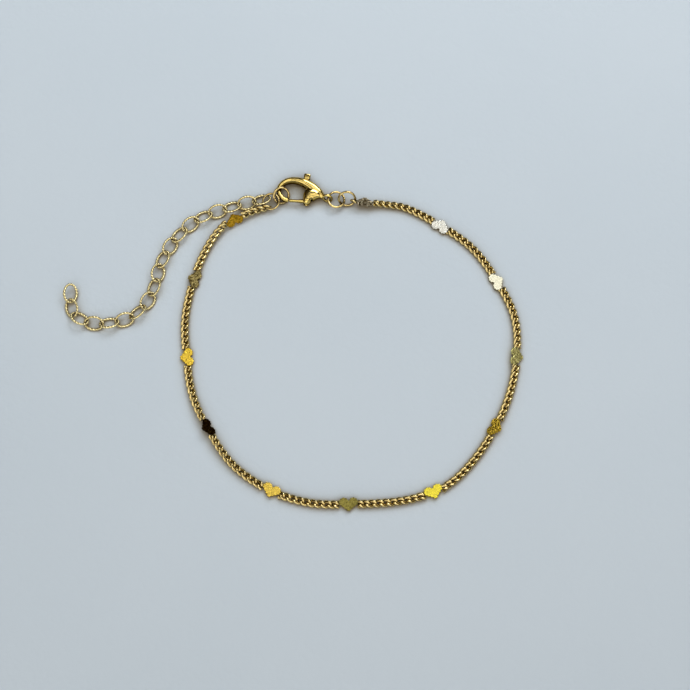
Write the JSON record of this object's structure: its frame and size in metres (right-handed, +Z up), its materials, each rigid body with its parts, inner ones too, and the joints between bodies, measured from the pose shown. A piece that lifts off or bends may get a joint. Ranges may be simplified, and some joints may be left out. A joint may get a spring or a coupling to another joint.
{
  "type": "heart charm bracelet",
  "caption": "Fine curb chain bracelet with small flat heart charms soldered into the chain, a lobster clasp and an extender chain of oval links, lying open on a table.",
  "frame": {"origin": "middle of the bounding box, on the table that the bracelet lies on", "axes": "+Z up from the table, +Y from the picture's bottom to its top, towards the clasp, +X from its left to its right"},
  "size_m": [0.0796, 0.0606, 0.0029],
  "materials": {
    "chain_gold": "polished",
    "heart_gold": "polished",
    "clasp_gold": "polished"
  },
  "bodies": {
    "bracelet": {"heart_01": "heart_gold", "heart_02": "heart_gold", "heart_03": "heart_gold", "heart_04": "heart_gold", "heart_05": "heart_gold", "heart_06": "heart_gold", "heart_07": "heart_gold", "heart_08": "heart_gold", "heart_09": "heart_gold", "heart_10": "heart_gold", "heart_11": "heart_gold", "heart_12": "heart_gold", "curb_run_01": "chain_gold", "curb_run_02": "chain_gold", "curb_run_03": "chain_gold", "curb_run_04": "chain_gold", "curb_run_05": "chain_gold", "curb_run_06": "chain_gold", "curb_run_07": "chain_gold", "curb_run_08": "chain_gold", "curb_run_09": "chain_gold", "curb_run_10": "chain_gold", "curb_run_11": "chain_gold", "curb_run_12": "chain_gold", "extender_link_01": "chain_gold", "extender_link_02": "chain_gold", "extender_link_03": "chain_gold", "extender_link_04": "chain_gold", "extender_link_05": "chain_gold", "extender_link_06": "chain_gold", "extender_link_07": "chain_gold", "extender_link_08": "chain_gold", "extender_link_09": "chain_gold", "extender_link_10": "chain_gold", "extender_link_11": "chain_gold", "extender_link_12": "chain_gold", "extender_link_13": "chain_gold", "extender_link_14": "chain_gold", "extender_link_15": "chain_gold", "extender_link_16": "chain_gold", "extender_link_17": "chain_gold", "extender_link_18": "chain_gold", "extender_link_19": "chain_gold", "ring_chain_end": "chain_gold", "ring_tail": "chain_gold", "ring_hook": "chain_gold", "ring_join": "chain_gold", "clasp_body": "clasp_gold"},
    "gate": {"clasp_lever": "clasp_gold"}
  },
  "joints": [
    {"name": "clasp_gate", "type": "hinge", "parent": "bracelet", "child": "gate", "pos_m": [0.00253, 0.02513, 0.001], "axis": [0, 0, -1], "range_deg": [0, 22], "stiffness_Nm_per_rad": 0.0013, "springref_deg": -11.46}
  ]
}
